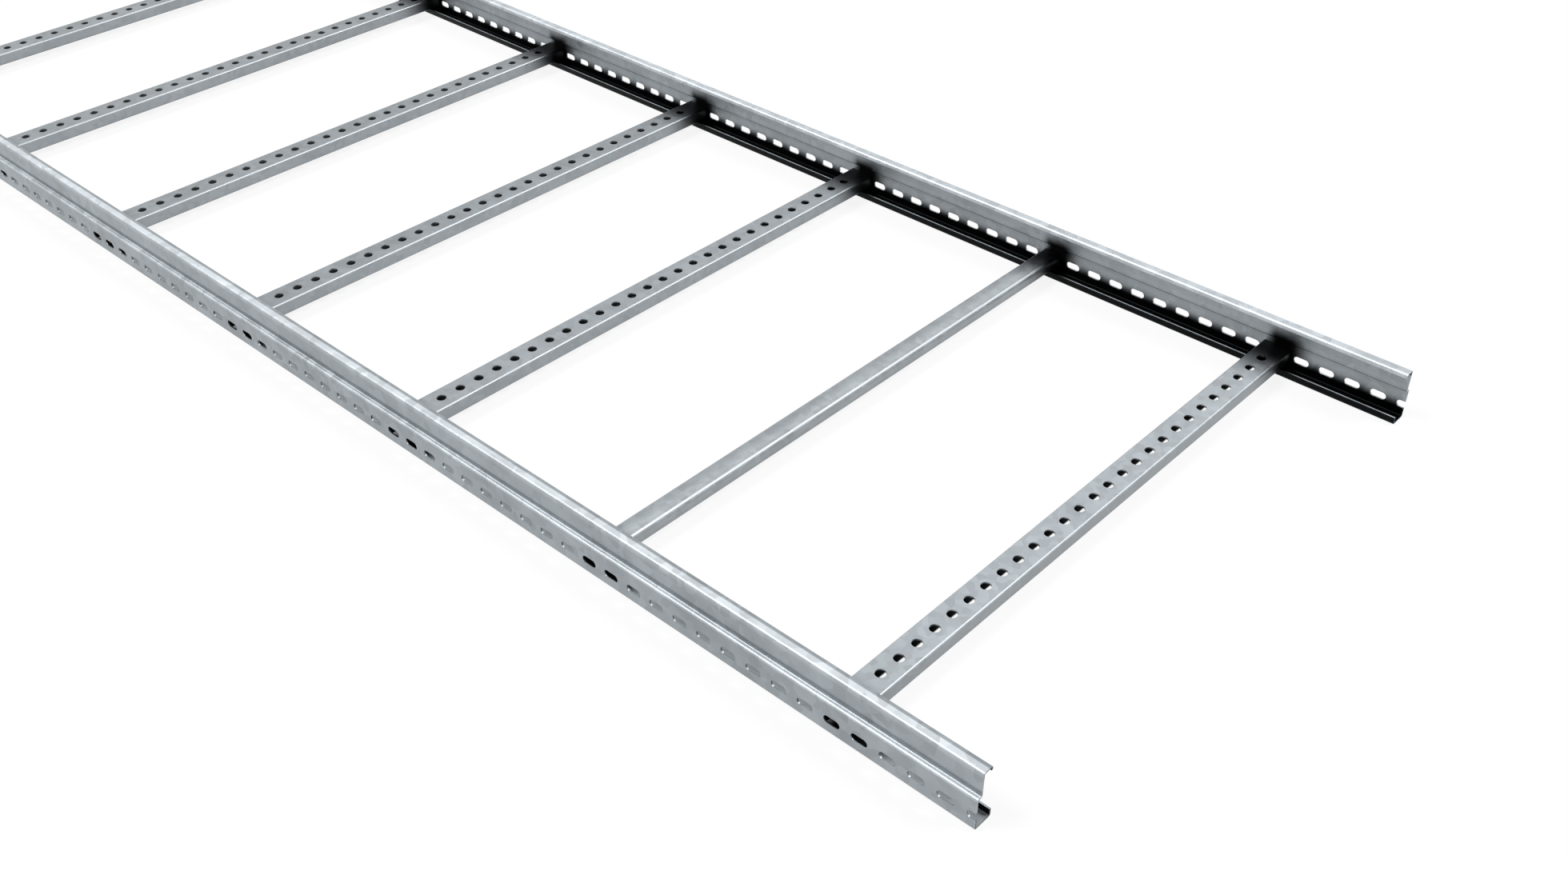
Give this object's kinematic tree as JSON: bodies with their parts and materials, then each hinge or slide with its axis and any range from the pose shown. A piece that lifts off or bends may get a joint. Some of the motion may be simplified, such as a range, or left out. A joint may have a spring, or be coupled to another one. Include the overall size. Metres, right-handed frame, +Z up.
{
  "type": "cable ladder section",
  "caption": "Straight galvanized steel cable ladder section: stepped side rails with slots, joined by perforated lipped-channel rungs and narrower plain rungs.",
  "frame": {"origin": "centre of the ladder's plan, on the plane that its rails stand on", "axes": "+X along the ladder, +Y across it from the left rail to the right, +Z up, the side that cables are laid in from"},
  "size_m": [3, 0.626, 0.052],
  "materials": {
    "rail_zinc": "hot-dip galvanized, smooth satin with a faint mottled spangle",
    "rung_zinc": "hot-dip galvanized, smooth satin"
  },
  "bodies": {
    "root": {"side_rail_left": "rail_zinc", "side_rail_right": "rail_zinc", "plain_rung_near": "rung_zinc", "plain_rung_far": "rung_zinc", "rung_01": "rung_zinc", "rung_02": "rung_zinc", "rung_03": "rung_zinc", "rung_04": "rung_zinc", "rung_05": "rung_zinc", "rung_06": "rung_zinc", "rung_07": "rung_zinc", "rung_08": "rung_zinc", "rung_09": "rung_zinc", "rung_10": "rung_zinc"}
  },
  "joints": []
}
